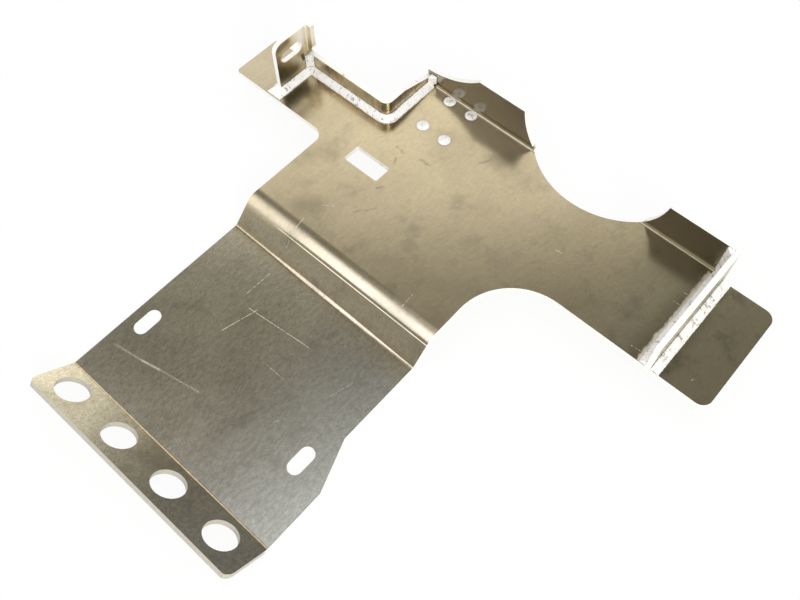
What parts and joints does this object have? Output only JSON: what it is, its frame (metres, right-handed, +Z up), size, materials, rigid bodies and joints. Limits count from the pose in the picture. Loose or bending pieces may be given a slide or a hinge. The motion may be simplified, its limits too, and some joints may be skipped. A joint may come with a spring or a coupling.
{
  "type": "transmission guard",
  "caption": "Folded aluminium underbody guard plate with a joggled panel, upturned holed lip, rear flanges either side of a round cut, and welded-on upright plates.",
  "frame": {"origin": "midway between the two slots in the lower panel, on that panel's top face", "axes": "+X across the guard along the slot spacing, +Y from the front lip to the rear flanges, +Z up out of the panels"},
  "size_m": [0.5495, 0.472, 0.086],
  "materials": {
    "sheet": "bare rolled sheet, lightly scuffed",
    "plates": "bare rolled sheet",
    "weld": "as-welded, rippled"
  },
  "bodies": {
    "root": {"guard_plate": "sheet", "ear": "plates", "notch_wall": "plates", "upright": "plates", "left_weld": "weld", "right_weld_inner": "weld", "right_weld_outer": "weld", "plug_weld_1": "weld", "plug_weld_2": "weld", "plug_weld_3": "weld", "plug_weld_4": "weld"}
  },
  "joints": []
}
